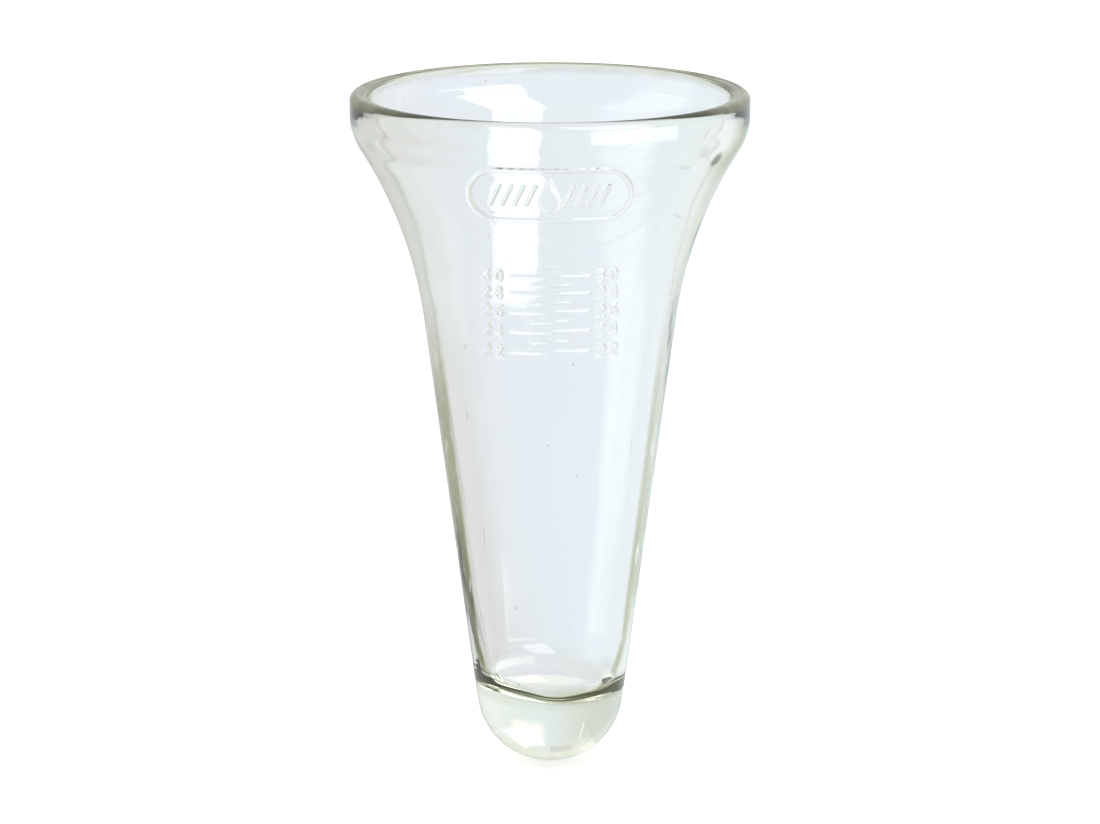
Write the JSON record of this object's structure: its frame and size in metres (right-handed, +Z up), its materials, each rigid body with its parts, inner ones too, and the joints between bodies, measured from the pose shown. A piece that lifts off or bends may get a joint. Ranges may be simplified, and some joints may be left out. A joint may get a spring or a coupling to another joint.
{
  "type": "rain gauge",
  "caption": "Clear glass rain gauge: rounded lip, flared mouth, long tapering tube and solid round base, with a raised rain scale and a raindrop badge on the front.",
  "frame": {"origin": "on the axis, in the plane where a 70 mm ring touches the underside of the flare", "axes": "+Z up the axis towards the mouth, -Y out of the front with the raised marks, +X to the right of the front"},
  "size_m": [0.09, 0.09, 0.157],
  "materials": {
    "clear_glass": "clear pressed glass with a faint grey-green edge, fire-polished, slightly wavy"
  },
  "bodies": {
    "root": {"gauge_glass": "clear_glass"}
  },
  "joints": []
}
